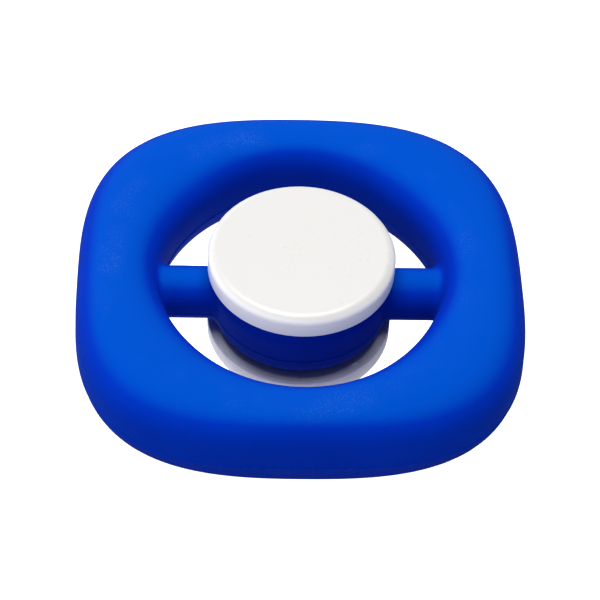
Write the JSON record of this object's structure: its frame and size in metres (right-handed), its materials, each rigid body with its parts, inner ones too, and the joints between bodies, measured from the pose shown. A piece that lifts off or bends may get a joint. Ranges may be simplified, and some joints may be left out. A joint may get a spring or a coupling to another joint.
{
  "type": "spinning grip ring",
  "caption": "Soft silicone grip ring with two arms and a hub that spins on a ball bearing between two round finger caps.",
  "frame": {"origin": "on the spin axis, halfway between the outer faces of the two finger caps", "axes": "+Z along the spin axis towards the top cap, +X along the two arms"},
  "size_m": [0.072, 0.0706, 0.0194],
  "materials": {
    "silicone": "matte, fine-grained moulded silicone",
    "cap_plastic": "satin-gloss white injection-moulded plastic",
    "bearing_steel": "ground bearing steel",
    "ball_steel": "polished bearing balls",
    "cage_steel": "pressed sheet steel",
    "shield_steel": "pressed thin sheet steel",
    "wire_steel": "drawn spring wire"
  },
  "bodies": {
    "finger_caps": {"bottom_cap": "cap_plastic", "top_cap": "cap_plastic", "bearing_inner_race": "bearing_steel"},
    "grip_ring": {"silicone_ring": "silicone", "bearing_outer_race": "bearing_steel", "upper_shield": "shield_steel", "lower_shield": "shield_steel", "upper_snap_ring": "wire_steel", "lower_snap_ring": "wire_steel"},
    "ball_cage": {"cage_upper_half": "cage_steel", "cage_lower_half": "cage_steel", "cage_rivets": "cage_steel"},
    "rolling_ball_1": {"ball_1": "ball_steel"},
    "rolling_ball_2": {"ball_2": "ball_steel"},
    "rolling_ball_3": {"ball_3": "ball_steel"},
    "rolling_ball_4": {"ball_4": "ball_steel"},
    "rolling_ball_5": {"ball_5": "ball_steel"},
    "rolling_ball_6": {"ball_6": "ball_steel"},
    "rolling_ball_7": {"ball_7": "ball_steel"}
  },
  "joints": [
    {"name": "ring_spin", "type": "hinge", "parent": "finger_caps", "child": "grip_ring", "pos_m": [0, 0, 0], "axis": [0, 0, 1], "continuous": true},
    {"name": "cage_spin", "type": "hinge", "parent": "finger_caps", "child": "ball_cage", "pos_m": [0, 0, 0], "axis": [0, 0, 1], "continuous": true},
    {"name": "ball_1_roll", "type": "hinge", "parent": "ball_cage", "child": "rolling_ball_1", "pos_m": [0.0075, 0, 0], "axis": [0, 0, 1], "continuous": true},
    {"name": "ball_2_roll", "type": "hinge", "parent": "ball_cage", "child": "rolling_ball_2", "pos_m": [0.00468, 0.00586, 0], "axis": [0, 0, 1], "continuous": true},
    {"name": "ball_3_roll", "type": "hinge", "parent": "ball_cage", "child": "rolling_ball_3", "pos_m": [-0.00167, 0.00731, 0], "axis": [0, 0, 1], "continuous": true},
    {"name": "ball_4_roll", "type": "hinge", "parent": "ball_cage", "child": "rolling_ball_4", "pos_m": [-0.00676, 0.00325, 0], "axis": [0, 0, 1], "continuous": true},
    {"name": "ball_5_roll", "type": "hinge", "parent": "ball_cage", "child": "rolling_ball_5", "pos_m": [-0.00676, -0.00325, 0], "axis": [0, 0, 1], "continuous": true},
    {"name": "ball_6_roll", "type": "hinge", "parent": "ball_cage", "child": "rolling_ball_6", "pos_m": [-0.00167, -0.00731, 0], "axis": [0, 0, 1], "continuous": true},
    {"name": "ball_7_roll", "type": "hinge", "parent": "ball_cage", "child": "rolling_ball_7", "pos_m": [0.00468, -0.00586, 0], "axis": [0, 0, 1], "continuous": true}
  ],
  "couplings": [
    {"joint": "cage_spin", "follows": "ring_spin", "ratio": 0.6323},
    {"joint": "ball_1_roll", "follows": "ring_spin", "ratio": 1.7573},
    {"joint": "ball_2_roll", "follows": "ring_spin", "ratio": 1.7573},
    {"joint": "ball_3_roll", "follows": "ring_spin", "ratio": 1.7573},
    {"joint": "ball_4_roll", "follows": "ring_spin", "ratio": 1.7573},
    {"joint": "ball_5_roll", "follows": "ring_spin", "ratio": 1.7573},
    {"joint": "ball_6_roll", "follows": "ring_spin", "ratio": 1.7573},
    {"joint": "ball_7_roll", "follows": "ring_spin", "ratio": 1.7573}
  ]
}
